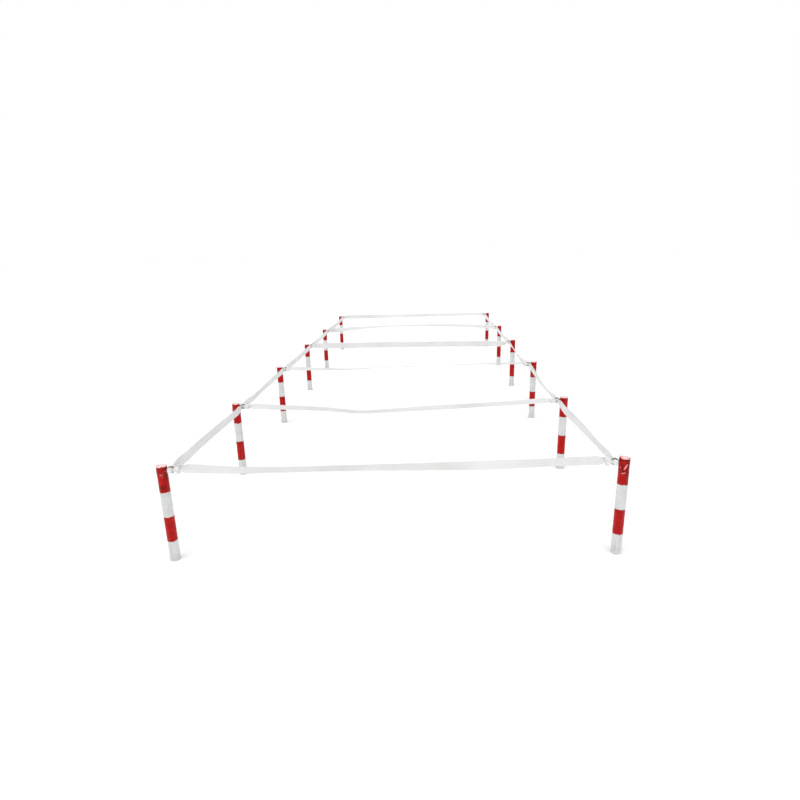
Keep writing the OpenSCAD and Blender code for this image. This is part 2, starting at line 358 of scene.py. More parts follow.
def film_material(name, deep, bright, shadowed, scuffed, whitening_and_highlight, tint, soil_share):
    """Glossy adhesive film on a round post: creases, crumple, upright drag marks, scuffs and soil, with
    painted shade in hollows and at the band edges, whitened fold ridges that are also painted glints, and a
    painted sheen on the head.
    """
    s = Shader(
        name, Specular_IOR_Level=0.20, Specular_Tint=(*tint, 1), Coat_Weight=0.03, Coat_Roughness=0.08,
    )
    patches = s.noise(26, detail=5)
    drags = s.noise(190, detail=4, stretch=(1, 1, 0.02))
    scuffs = s.noise(95, detail=9, stretch=(1, 1, 0.5), distortion=1.2)
    foot = s.spread(s.height_over_ground(), 0.0, 0.13, 1.0, 0.25)
    colour = s.mix(s.spread(patches, 0.3, 0.7), deep, bright)
    # Painted shade: darkened towards the shadowed colour beside folds, in slack hollows and at the band
    # edges.
    colour = s.mix(s.spread(s.attribute("hollow"), 0.0, 1.0, 0.0, 0.9), colour, shadowed)
    # Fold ridges are whitened as the film's stress whitening, and lighter still as a painted glint.
    colour = s.mix(s.spread(s.attribute("ridge_whitening_and_glint"), 0.25, 0.9, 0.0, 0.9), colour, whitening_and_highlight)
    # The head's fold over the top is paled as sun bleaching and as a painted sheen of the sky.
    faded_and_sheen = s.math("MULTIPLY", s.attribute("bleach_and_painted_sheen"), s.spread(patches, 0.25, 0.6, 0.75, 1.0))
    colour = s.mix(faded_and_sheen, colour, tuple((c + 1.1) / 2 for c in whitening_and_highlight))
    lines = s.math("MULTIPLY", s.spread(drags, 0.57, 0.68, 0.0, 0.85), foot)
    colour = s.mix(lines, colour, scuffed)
    colour = s.mix(s.spread(scuffs, 0.66, 0.74, 0.0, 0.5), colour, scuffed)
    splash = s.spread(s.noise(150, detail=8), 0.50, 0.68)
    low = s.spread(s.height_over_ground(), 0.0, 0.06, 1.0, 0.0)
    soil = s.math("MULTIPLY", s.math("MULTIPLY", low, splash), soil_share)
    colour = s.mix(soil, colour, SOIL)
    rough = s.spread(scuffs, 0.35, 0.75, 0.13, 0.42)
    crumpled = s.spread(s.noise(21, detail=2), 0.50, 0.62, 0.0, 1.0)
    crumple = s.math("MULTIPLY", s.noise(230, detail=3, distortion=1.5), crumpled)
    normal = s.bump(s.noise(60, detail=3, stretch=(1, 1, 0.45), distortion=0.8), 0.0014, 0.6)
    normal = s.bump(crumple, 0.0016, 0.7, over=normal)
    normal = s.bump(s.noise(900, detail=2), 0.00008, 0.5, over=normal)
    return s.set(Base_Color=colour, Roughness=rough, Normal=normal)


def webbing_material(name, clean, soiled):
    """Flat woven webbing: yarns across and along, ribs between them, and a little grey soiling."""
    s = Shader(name, roughness=0.74, Specular_IOR_Level=0.2, Sheen_Weight=0.25, Sheen_Roughness=0.5)
    split = s.tree.nodes.new("ShaderNodeSeparateXYZ")
    s.link(s.place.outputs["UV"], split.inputs[0])
    along, across = split.outputs["X"], split.outputs["Y"]
    row = s.math("SINE", s.math("MULTIPLY", across, 2 * math.pi / YARN))
    flip = s.math("SIGN", s.math("SINE", s.math("MULTIPLY", across, math.pi / YARN)))
    shift = s.math("MULTIPLY", flip, math.pi / 2)
    phase = s.math("ADD", s.math("MULTIPLY", along, 2 * math.pi / PICK), shift)
    weft = s.math("SINE", phase)
    weave = s.math("ADD", s.math("MULTIPLY", s.math("ABSOLUTE", row), 0.6), s.math("MULTIPLY", weft, 0.4))
    soiling = s.noise(5, detail=8)
    fuzz = s.noise(700, detail=4)
    colour = s.mix(s.spread(soiling, 0.35, 0.75), clean, soiled)
    shade = s.spread(weave, -0.35, 0.6, 0.16, 0.0)
    colour = s.mix(shade, colour, (0.42, 0.42, 0.41))
    colour = s.mix(s.spread(fuzz, 0.55, 0.8, 0.0, 0.12), colour, (0.9, 0.9, 0.9))
    normal = s.bump(weave, 0.00035, 0.8)
    normal = s.bump(fuzz, 0.0001, 0.4, over=normal)
    return s.set(Base_Color=colour, Normal=normal)


def steel_material(name, light, dark, rust_share, roughness):
    """Plain steel with a spangle, rubbed spots and a little rust."""
    s = Shader(name, Metallic=0.85, Specular_IOR_Level=0.4)
    spangle = s.spread(s.cracks(160), 0.0, 0.35)
    colour = s.mix(spangle, dark, light)
    rust = s.spread(s.noise(120, detail=8), 0.55, 0.7, 0.0, rust_share)
    colour = s.mix(rust, colour, RUST)
    rough = s.spread(s.noise(240, detail=6), 0.3, 0.7, roughness - 0.1, roughness + 0.15)
    normal = s.bump(s.noise(500, detail=5), 0.0002, 0.6)
    return s.set(Base_Color=colour, Roughness=rough, Normal=normal)


def cap_material():
    """Pale moulded plastic, a little chalky, with grime in patches. Its pale pink also stands in as a
    painted sheen on the post's top.
    """
    s = Shader("cap_moulded", Specular_IOR_Level=0.35)
    blush = s.noise(60, detail=5)
    # The cap's pale pink is its plastic and also a painted sheen that matches the paled head film.
    colour = s.mix(s.spread(blush, 0.3, 0.7), (0.80, 0.60, 0.57), (0.88, 0.74, 0.71))
    grime = s.spread(s.noise(210, detail=8), 0.58, 0.72, 0.0, 0.5)
    colour = s.mix(grime, colour, (0.45, 0.38, 0.34))
    rough = s.spread(s.noise(300, detail=4), 0.3, 0.7, 0.38, 0.6)
    normal = s.bump(s.noise(1500, detail=2), 0.00005, 0.5)
    return s.set(Base_Color=colour, Roughness=rough, Normal=normal)


# ---------------------------------------------------------------- mesh helpers

def make_object(name, vertices, faces, material, uv=None, marks=None):
    """A smooth mesh object. marks holds a value for each point under each attribute's name."""
    mesh = bpy.data.meshes.new(name)
    mesh.from_pydata([tuple(v) for v in vertices], [], faces)
    mesh.polygons.foreach_set("use_smooth", np.ones(len(mesh.polygons), bool))
    if uv is not None:
        layer = mesh.uv_layers.new(name="length")
        loops = np.zeros(len(mesh.loops), np.int32)
        mesh.loops.foreach_get("vertex_index", loops)
        layer.data.foreach_set("uv", np.asarray(uv, float)[loops].ravel())
    for key, values in (marks or {}).items():
        mark = mesh.attributes.new(key, "FLOAT", "POINT")
        mark.data.foreach_set("value", np.asarray(values, np.float32).ravel())
    mesh.materials.append(material)
    mesh.update()
    obj = bpy.data.objects.new(name, mesh)
    bpy.context.scene.collection.objects.link(obj)
    return obj


def declare(piece, node):
    """Puts a piece on the lane's one body, in place of its CAD node."""
    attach(piece, ROOT)
    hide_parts(node)


def grid_faces(rows, columns, closed_rows=False):
    """Quads between rows of points, whose columns run round."""
    faces = []
    for i in range(rows if closed_rows else rows - 1):
        near, far = i * columns, (i + 1) % rows * columns
        for j in range(columns):
            k = (j + 1) % columns
            faces.append((near + j, near + k, far + k, far + j))
    return faces


def end_faces(rows, columns):
    """The two faces that close a run of rows at its ends."""
    return [tuple(range(columns))[::-1], tuple(range((rows - 1) * columns, rows * columns))]


def joined(parts):
    """The points and faces of several parts as one. A part starts with its points and its faces."""
    points, faces, first = [], [], 0
    for part_points, part_faces, *_ in parts:
        points.append(part_points)
        faces += [tuple(first + k for k in face) for face in part_faces]
        first += len(part_points)
    return np.concatenate(points), faces


def full_turn(steps):
    return np.linspace(0, 2 * math.pi, steps, endpoint=False)


def wrapped(angle):
    """The same angle between -pi and pi."""
    return np.angle(np.exp(1j * angle))


def post_rng(seed, side, row):
    """A random generator of its own for one kind of piece on one post."""
    return np.random.default_rng(seed + 20 * row + (side == "right"))


def curve_at(values, u):
    """The smooth curve of part.scad through evenly spaced values."""
    v = np.asarray(values, float)
    n = len(v) - 1
    i = np.minimum(n - 1, np.floor(u * n).astype(int))
    t = u * n - i
    a, b = v[np.maximum(i - 1, 0)], v[i]
    c, d = v[i + 1], v[np.minimum(i + 2, n)]
    square = t * t * (a - 2.5 * b + 2 * c - d / 2)
    return b + t * (c - a) / 2 + square + t**3 * (1.5 * (b - c) + (d - a) / 2)


def smooth(t):
    t = np.clip(t, 0, 1)
    return t * t * (3 - 2 * t)


def to_row_frame(points, side, row):
    """Points in a post's own frame, whose +X is towards the lane, to the row's frame."""
    p = np.array(points, float)
    if side == "right":
        p[:, :2] *= -1
    return p + post_centre(side, row)


# ---------------------------------------------------------------- webbing

ACROSS = 25
STEP = 0.008
# Rise and quickness, in radians per metre, of the ripples that cup the webbing and those at its edges
CUPS = ((0.0009, 9), (0.0006, 23))
EDGE_RISE, EDGE_RATE = 0.0004, 61


def webbing_points(span, shift, rise, bow, lean, end_l, end_w, end_fold, rng, phase=None):
    """Centre line, skin and lengths of a length of webbing that runs along +X from the origin.

    Over end_l at each end it narrows to end_w, and its pleats there take up the width that is lost, up
    to a height of end_fold. phase is where the pleats start, or None for a random start.
    """
    n = int(span / STEP) + 1
    s = np.linspace(0, span, n)
    u = s / span
    opened = smooth(np.minimum(s, span - s) / end_l)
    width = end_w + (WEB_W - end_w) * opened
    lost = np.maximum((WEB_W / width) ** 2 - 1, 0)
    pleat = np.minimum(width / (2 * math.pi * PLEATS / 2) * np.sqrt(2 * lost), end_fold)
    a = np.radians(curve_at(lean, u))
    line = np.stack([s, shift * u + curve_at(bow, u) * MM, curve_at(rise, u) * MM], 1)
    wide = np.stack([np.zeros(n), np.sin(a), np.cos(a)], 1)
    out = np.stack([np.zeros(n), np.cos(a), -np.sin(a)], 1)
    v = np.linspace(-1, 1, ACROSS)
    waves = rng.uniform(0, 2 * math.pi, 4)
    slow = sum(high * np.sin(s * rate + wave) for (high, rate), wave in zip(CUPS, waves))
    fast = EDGE_RISE * np.sin(s * EDGE_RATE + waves[2])
    cup = (slow * opened)[:, None] * (v**2 - 0.35)[None, :]
    edge = (fast * opened)[:, None] * (np.abs(v) ** 6)[None, :]
    pleats_from = waves[3] if phase is None else phase
    folds = pleat[:, None] * np.sin(PLEATS * math.pi * v + pleats_from)[None, :]
    offset = cup + edge + folds
    lateral = (width / 2)[:, None] * v[None, :]
    skins = []
    for face in (1, -1):
        lift = offset + face * WEB_T / 2
        skins.append(line[:, None] + wide[:, None] * lateral[:, :, None] + out[:, None] * lift[:, :, None])
    rims = []
    for e in (0, -1):
        reach = lateral[:, e] + np.sign(v[e]) * WEB_T * 0.4
        rims.append(line + wide * reach[:, None] + out * offset[:, e][:, None])
    ring = np.concatenate([skins[0], rims[1][:, None], skins[1][:, ::-1], rims[0][:, None]], 1)
    across = np.concatenate([v, [1.02], v[::-1], [-1.02]]) * WEB_W / 2
    uv = np.stack(np.broadcast_arrays(s[:, None], across[None, :]), 2)
    return line, ring, uv


def webbing_piece(name, ring, uv, material):
    rows, columns = ring.shape[:2]
    faces = grid_faces(rows, columns) + end_faces(rows, columns)
    return make_object(name, ring.reshape(-1, 3), faces, material, uv.reshape(-1, 2))


def declare_webbing(piece, node):
    declare(piece, node)


def add_cross_webbing(row, material):
    node = f"cross_webbing_{row}"
    low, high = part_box(node)
    near, far = post_centre("left", row), post_centre("right", row)
    start = np.array([low.x, near[1], KNOT_Z])
    rng = np.random.default_rng(100 + row)
    i = row - 1
    line, ring, uv = webbing_points(
        high.x - low.x, far[1] - near[1], CROSS_RISE_MM[i], CROSS_BOW_MM[i], CROSS_LEAN[i],
        GATHER_L, GATHER_W, GATHER_FOLD, rng,
    )
    piece = webbing_piece(f"webbing_across_{row}", ring + start, uv, material)
    declare_webbing(piece, node)


def add_side_webbing(side, material, stop_knot_webbing_painted_light):
    """A row's webbing, through its eyes. Its own +X is along the row, and its own +Y is into the lane."""
    towards = -side_sign(side)
    posts = [post_centre(side, row) for row in ROWS]
    start = np.array([posts[0][0] + towards * PINCH_X, posts[0][1], EYE_Z])
    phase = np.random.default_rng(290 + (side == "right")).uniform(0, 2 * math.pi)
    lines, rings, uvs = [], [], []
    for i, (near, far) in enumerate(zip(posts, posts[1:])):
        rng = np.random.default_rng(210 + 10 * i + (side == "right"))
        line, ring, uv = webbing_points(
            far[1] - near[1], towards * (far[0] - near[0]), SIDE_RISE_MM[side][i], [0, 0],
            SIDE_LEAN[side][i], PINCH_L, PINCH_W, PINCH_FOLD, rng, phase,
        )
        at = np.array([near[1] - posts[0][1], towards * (near[0] - posts[0][0]), 0])
        first = min(i, 1)
        lines.append((line + at)[first:])
        rings.append((ring + at)[first:])
        uvs.append((uv + (at[0], 0))[first:])
    for end, sign in ((0, -1), (-1, 1)):
        tip = (sign * STOP_Y, 0, 0)
        lines.insert(len(lines) * (end != 0), lines[end][[end]] + tip)
        rings.insert(len(rings) * (end != 0), rings[end][[end]] + tip)
        uvs.insert(len(uvs) * (end != 0), uvs[end][[end]] + tip[:2])

    def to_frame(p):
        return np.stack([start[0] + towards * p[..., 1], start[1] + p[..., 0], start[2] + p[..., 2]], -1)

    ring = to_frame(np.concatenate(rings))
    if towards < 0:
        ring = ring[:, ::-1]
    line = to_frame(np.concatenate(lines))
    uv = np.concatenate(uvs)
    piece = webbing_piece(f"webbing_side_{side}", ring, uv[:, ::-1] if towards < 0 else uv, material)
    stops = [add_stop_knot(side, row, y, stop_knot_webbing_painted_light) for row, y in ((1, -STOP_Y), (6, STOP_Y))]
    declare_webbing(piece, f"side_webbing_{side}")


# ---------------------------------------------------------------- knots

STRAP_ACROSS = 13


def strap(path, wide, width, closed, folds=0.0, bulge=0.0):
    """Points, faces and lengths of a flat strap along a path, with wide as its width's direction."""
    path, wide = np.asarray(path, float), np.asarray(wide, float)
    ahead = np.roll(path, -1, 0) - np.roll(path, 1, 0)
    if not closed:
        ahead[0], ahead[-1] = path[1] - path[0], path[-1] - path[-2]
    ahead /= np.linalg.norm(ahead, axis=1)[:, None]
    wide = wide - ahead * (wide * ahead).sum(1)[:, None]
    wide /= np.linalg.norm(wide, axis=1)[:, None]
    out = np.cross(ahead, wide)
    v = np.linspace(-1, 1, STRAP_ACROSS)
    lift = folds * np.cos(3.5 * math.pi * v) + bulge * (1 - v**2)
    lateral = np.broadcast_to(width, len(path))[:, None] / 2 * v[None, :]
    middle = path[:, None] + wide[:, None] * lateral[:, :, None]
    upper = middle + out[:, None] * (lift + WEB_T / 2)[None, :, None]
    lower = middle + out[:, None] * (lift - WEB_T / 2)[None, :, None]
    ring = np.concatenate([upper, lower[:, ::-1]], 1)
    rows, columns = ring.shape[:2]
    faces = grid_faces(rows, columns, closed_rows=closed)
    if not closed:
        faces += end_faces(rows, columns)
    run = np.concatenate([[0], np.cumsum(np.linalg.norm(np.diff(path, axis=0), axis=1))])
    across = np.concatenate([v, v[::-1]]) * WEB_W / 2
    uv = np.stack(np.broadcast_arrays(run[:, None], across[None, :]), 2)
    return ring.reshape(-1, 3), faces, uv.reshape(-1, 2)


def turn_round(centre_at, radii, tilt):
    """A closed turn round an upright bundle, tilted about a level axis."""
    steps, squeeze = 40, 0.03
    t = full_turn(steps)
    r = 1 + squeeze * np.cos(2 * t)
    p = np.stack([radii[0] * r * np.cos(t), radii[1] * r * np.sin(t), np.zeros(steps)], 1)
    level_axis = Vector((1, 0.4, 0))
    spin = np.array(Matrix.Rotation(tilt, 3, level_axis))
    return p @ spin.T + centre_at, np.broadcast_to(spin @ np.array([0, 0, 1.0]), (steps, 3))


def knot_core(at, d, h, rng):
    """The gathered bundle in the middle of a knot: an upright lump with folds."""
    rows, columns = 20, 48
    t = np.linspace(0, math.pi, rows)
    a = full_turn(columns)
    phase = rng.uniform(0, 2 * math.pi, 3)
    fold = 1 + 0.07 * np.sin(7 * a[None, :] + 2 * np.cos(t)[:, None] + phase[0])
    fold = fold + 0.05 * np.sin(11 * a[None, :] + phase[1])
    r = (np.sin(t) ** 0.7)[:, None] * fold
    half_w, half_h = d * 0.40, h * 0.44
    x = at[0] + half_w * r * np.cos(a)[None, :]
    y = at[1] + half_w * 1.05 * r * np.sin(a)[None, :]
    z = at[2] + half_h * np.cos(t)[:, None] + 0.0006 * np.sin(5 * a[None, :] + phase[2])
    points = np.stack([x, y, np.broadcast_to(z, x.shape)], 2).reshape(-1, 3)
    faces = [face[::-1] for face in grid_faces(rows, columns) + end_faces(rows, columns)]
    uv = np.stack([points[:, 2], np.tile(a, rows) * half_w], 1)
    return points, faces, uv


def ring_loop(rng):
    """The bundle of webbing that goes through the ring, round the rod's far side and into the knot."""
    around, across = 56, 21
    t = full_turn(around)[:, None]
    v = np.linspace(-1, 1, across)[None, :]
    half_in_ring, half_gain = 0.0072, 0.0028
    h = v * (half_in_ring + half_gain * (1 + np.cos(t)) / 2)
    slope = np.minimum(np.abs(h) / RING_R, 0.6)
    phase = rng.uniform(0, 2 * math.pi)
    in_ring = np.clip(-np.cos(t), 0, 1) ** 2
    thick_at_knot, thick_gain, fold_h, edge_loss = 0.0030, 0.0048, 0.0007, 0.0012
    thick = thick_at_knot + thick_gain * in_ring
    thick = thick + fold_h * np.cos(3.5 * math.pi * v + phase) - edge_loss * v**4
    inner = EYE_ROD / 2 / np.sqrt(1 - slope**2) + GAP + 0 * t
    in_hole = np.cos(t) < 0
    ends_at = KNOT_X - 0.003
    middle_x = np.where(in_hole, RING_X + np.sqrt(RING_R**2 - h**2), ends_at)
    rows = []
    for r, flip in ((inner + thick, 1), (inner, -1)):
        x, y = middle_x + r * np.cos(t), r * np.sin(t)
        rows.append(np.stack(np.broadcast_arrays(x, y, EYE_Z + h), 2)[:, ::flip])
    ring = np.concatenate(rows, 1)
    faces = grid_faces(around, 2 * across, closed_rows=True)
    loop_r = 0.008
    run = np.broadcast_to(t * loop_r, (around, 2 * across))
    wide = np.broadcast_to(np.concatenate([v[0], v[0][::-1]]) * WEB_W / 2, (around, 2 * across))
    return ring.reshape(-1, 3), faces, np.stack([run, wide], 2).reshape(-1, 2)


def knot_tail(at, d, h, rng):
    """The cut end of the webbing, which leaves the knot downwards and curls away."""
    s = np.linspace(0, 1, 16)
    sway = rng.uniform(-0.35, 0.35)
    length = rng.uniform(0.006, 0.010)
    x = at[0] + d * 0.22 + 0.004 * s**2
    y = at[1] + 0.004 * sway + sway * length * s
    z = at[2] - h * 0.30 - length * s
    path = np.stack([x, y, z], 1)
    turn = rng.uniform(-0.5, 0.5) + s * rng.uniform(-0.5, 0.5)
    wide = np.stack([np.sin(turn) * 0.6, np.cos(turn), 0.2 * np.sin(turn)], 1)
    width = 0.012 + 0.010 * smooth(s * 1.3)
    return strap(path, wide, width, closed=False, folds=0.0006)


# Turns round a knot: the height of each from the knot's middle, as a share of its height, and its tilt
TURNS = ((-0.2625, 0.16), (0.0, -0.12), (0.2625, 0.20))
# Width of a turn, as a share of the knot's height, and radius of the turns, as a share of d
TURN_W = 0.2875
KNOT_SNUG = 0.47
STOP_SNUG = 0.40


def knot_parts(at, d, h, snug, rng):
    """A knot's core, the turns round it and the turn over its ends. snug sets the turns' radius."""
    parts = [knot_core(at, d, h, rng)]
    for level, tilt in TURNS:
        lean = tilt + rng.uniform(-0.06, 0.06)
        path, wide = turn_round(at + (0, 0, level * h), (d * snug, d * (snug + 0.02)), lean)
        parts.append(strap(path, wide, h * TURN_W, closed=True, folds=0.0004, bulge=0.0008))
    t = full_turn(44)
    climb = rng.uniform(0.55, 0.75)
    over = (d * (snug + 0.03) * np.cos(t), d * (snug - 0.05) * np.cos(t) * climb, h * 0.50 * np.sin(t))
    wide = np.broadcast_to(np.array([-climb * 0.7, 1.0, 0.0]), (len(t), 3))
    parts.append(strap(at + np.stack(over, 1), wide, 0.010, closed=True, bulge=0.0005))
    return parts


def knot_piece(name, side, row, parts, material):
    points, faces = joined(parts)
    uv = np.concatenate([part[2] for part in parts])
    piece = make_object(name, to_row_frame(points, side, row), faces, material, uv)
    declare(piece, "webbing_knots")
    return piece


def add_knot(side, row, material):
    """The knot of a cross webbing beside its eye."""
    rng = post_rng(300, side, row)
    at = np.array([KNOT_X, 0, KNOT_Z])
    parts = knot_parts(at, KNOT_D, KNOT_H, KNOT_SNUG, rng)
    parts.append(ring_loop(rng))
    parts.append(knot_tail(at, KNOT_D, KNOT_H, rng))
    knot_piece(f"webbing_knot_{side}_{row}", side, row, parts, material)


def add_stop_knot(side, row, y, material):
    """The knot at an end of a row's webbing, outside its last eye. y is along the lane from that eye."""
    rng = post_rng(500, side, row)
    at = np.array([STOP_X, -y * side_sign(side), EYE_Z])
    parts = knot_parts(at, STOP_D, STOP_H, STOP_SNUG, rng)
    return knot_piece(f"stop_knot_{side}_{row}", side, row, parts, material)


# ---------------------------------------------------------------- film on the posts

# Points round the film, and the steps between its rows at the head and on the other bands
ROUND = 128
HEAD_STEP = 0.0014
BAND_STEP = 0.0022
# Radius of the head's corner, and the rows of the corner and of the fold over the head
HEAD_CORNER = 0.0018
HEAD_ROWS = (5, 9)
# Length of film that is creased below the head, and the rise of its folds
CREASED = 0.075
FOLD_RISE = 0.0016
FILM_GAP = 0.00005
FILM_LAP = 0.0012


def triangle(x):
    """A wave of straight lines between -1 and 1, with a period of 2 pi."""
    return 2 / math.pi * np.arcsin(np.sin(x))


def creases(angle, height, folds):
    """Rise of the film over its sharp folds. Each has its place, turn, length, width and rise."""
    total = np.zeros(np.broadcast(angle, height).shape)
    for at, z, turn, length, width, rise in folds:
        x = FILM_R * wrapped(angle - at)
        along = x * math.cos(turn) + (height - z) * math.sin(turn)
        off = (height - z) * math.cos(turn) - x * math.sin(turn)
        ends = smooth(1.3 * (1 - np.abs(along) / (length / 2)))
        total = np.maximum(total, rise * np.exp(-np.abs(off) / width) * ends)
    return total


def random_folds(rng, count, z0, z1, near_eye, rise):
    """Folds between two heights. Those near the eye gather on its side of the post."""
    folds = []
    for _ in range(count):
        at = rng.normal(0, 1.3) if near_eye else rng.uniform(-math.pi, math.pi)
        turn = rng.uniform(0.35, 1.35) * (1 if rng.random() < 0.5 else -1)
        length = rng.uniform(0.014, 0.045)
        width = rng.uniform(0.0012, 0.0026)
        folds.append((at, rng.uniform(z0, z1), turn, length, width, rise * rng.uniform(0.4, 1.0)))
    return folds


# Folds that stand out at the heads of the two front posts, as angle from the eye, depth below the
# head, turn, length, width and rise
HEAD_FOLDS = {
    ("left", 1): [
        (-1.45, 0.036, 0.9, 0.022, 0.0018, 0.0020), (-1.22, 0.046, -0.5, 0.016, 0.0016, 0.0017),
        (-1.00, 0.030, 0.3, 0.020, 0.0016, 0.0015), (-0.45, 0.022, -0.9, 0.030, 0.0020, 0.0016),
    ],
    ("right", 1): [
        (1.52, 0.036, 1.10, 0.046, 0.0034, 0.0030), (1.22, 0.066, 0.25, 0.030, 0.0026, 0.0024),
        (0.86, 0.055, -1.20, 0.022, 0.0018, 0.0013), (1.05, 0.074, 1.20, 0.018, 0.0018, 0.0014),
        (0.35, 0.040, -0.95, 0.036, 0.0018, 0.0012), (2.15, 0.046, 1.25, 0.050, 0.0018, 0.0012),
    ],
}
# Patches of painted shade there, as angle from the eye, depth below the head, and half their width and
# height. They darken slack hollows and edges of the heads.
HEAD_PAINTED_SHADE = {
    ("left", 1): [(-0.45, 0.045, 0.45, 0.030), (-2.30, 0.030, 0.40, 0.020), (-1.5, 0.100, 1.0, 0.012)],
    ("right", 1): [
        (2.40, 0.030, 0.50, 0.060), (2.45, 0.100, 0.45, 0.040), (1.00, 0.048, 0.28, 0.022),
        (1.25, 0.005, 1.30, 0.005), (1.95, 0.050, 0.25, 0.025),
    ],
}
# How far the film's fold comes in over the head, where it differs from the usual
HEAD_FOLD_R = {("left", 1): 0.0200, ("right", 1): 0.0120, ("right", 2): 0.0205, ("left", 2): 0.0185}


def pointed(a, at, half):
    """A point that rises from 0 to 1 at an angle and falls again."""
    return np.maximum(0, 1 - np.abs(wrapped(a - at)) / half) ** 1.5


def head_ears(side, row, rng, a):
    """How far the film's folded edge stands up round the head."""
    ears = np.zeros(ROUND)
    for at in rng.uniform(0, 2 * math.pi, 4):
        ears += rng.uniform(0.3, 1.0) * pointed(a, at, 0.26)
    if (side, row) == ("right", 1):
        for at in (0.45, 2.45):
            ears += 1.5 * pointed(a, at, 0.34)
    return ears


def head_rows(r, z1, side, row, rng, a, phase):
    """Rows of the folded head: a rounded corner with pointed ears, then pleats towards the middle."""
    pleats = (1 - np.abs(np.sin(3.5 * a + phase[0]))) ** 3
    pleats = pleats + 0.6 * (1 - np.abs(np.sin(5.5 * a + phase[1]))) ** 4
    ears = head_ears(side, row, rng, a)
    corner_rows, fold_rows = HEAD_ROWS
    radii, heights = [], []
    for t in np.linspace(0.2, 1, corner_rows) * math.pi / 2:
        radii.append(r - HEAD_CORNER * (1 - math.cos(t)) + ears * 0.0014 * math.sin(t))
        heights.append(z1 - HEAD_CORNER * (1 - math.sin(t)) + ears * 0.0046 * math.sin(t) ** 2)
    usual = rng.uniform(0.0165, 0.0200)
    inner_r = HEAD_FOLD_R.get((side, row), usual) + 0.0009 * np.sin(3 * a + phase[2])
    inner_r = inner_r + 0.0007 * triangle(8 * a + phase[3])
    edge = radii[-1] - 0.0004
    for t in np.linspace(0.12, 1, fold_rows):
        radii.append(edge * (1 - t) + inner_r * t)
        lift = pleats * 0.0010 * math.sin(math.pi * min(1, 0.25 + 0.8 * t)) + ears * 0.0040 * (1 - t) ** 4
        heights.append(z1 + 0.0003 + lift)
    return radii, heights, inner_r, ears


def cut_edges(a, z0, z1, head, phase):
    """Heights of a band's lower and upper cut edges. The foot's is level, and the head's folds over."""
    low = z0 + 0.0006 * np.sin(3 * a + phase[0]) + 0.0004 * np.sin(7 * a + phase[1])
    high = z1 + (0.0006 * np.sin(2 * a + phase[2]) + 0.0004 * np.sin(9 * a + phase[3]))
    return low if z0 > 0 else np.zeros(ROUND), np.full(ROUND, z1 - HEAD_CORNER) if head else high


def film_folds(side, row, z0, z1, head, rng):
    """A band's sharp folds. The head has more of them, and higher ones."""
    if not head:
        return random_folds(rng, 5, z0 + 0.01, z1 - 0.01, False, 0.0007)
    folds = random_folds(rng, 9, z1 - 0.070, z1 - 0.006, True, FOLD_RISE)
    folds += random_folds(rng, 3, z0 + 0.01, z1 - 0.07, False, 0.0008)
    return folds + [(at, z1 - depth, *rest) for at, depth, *rest in HEAD_FOLDS.get((side, row), [])]


def film_marks(side, row, z0, z1, head, angle, z, folds, rise, slack_painted_shade):
    """Marks for the colour: the raised ridge of each fold, for its whitening and a painted glint, and
    painted shade beside the folds, in the head's slack facets, at the band's cut edges and in the head's
    patches.
    """
    ridge_whitening_and_glint = np.clip(rise / FOLD_RISE, 0, 1) ** 1.5
    # Painted shade beside each fold, in the head's slack facets, in the listed patches and at the cut edges.
    wider = [(*fold[:4], fold[4] * 1.6, fold[5]) for fold in folds]
    beside = creases(angle, z - 0.0035, wider)
    hollow = np.clip(beside / FOLD_RISE - ridge_whitening_and_glint * 1.5, 0, 1) * 0.8 + slack_painted_shade * 0.6
    for at, depth, half_a, half_z in HEAD_PAINTED_SHADE.get((side, row), []) if head else []:
        off = wrapped(angle - at) / half_a
        hollow = hollow + 0.9 * np.exp(-(off**2) - ((z1 - depth - z) / half_z) ** 2)
    ends = np.minimum(z - z0, z1 - z)
    return ridge_whitening_and_glint, np.clip(hollow + 0.35 * np.exp(-ends / 0.004), 0, 1)


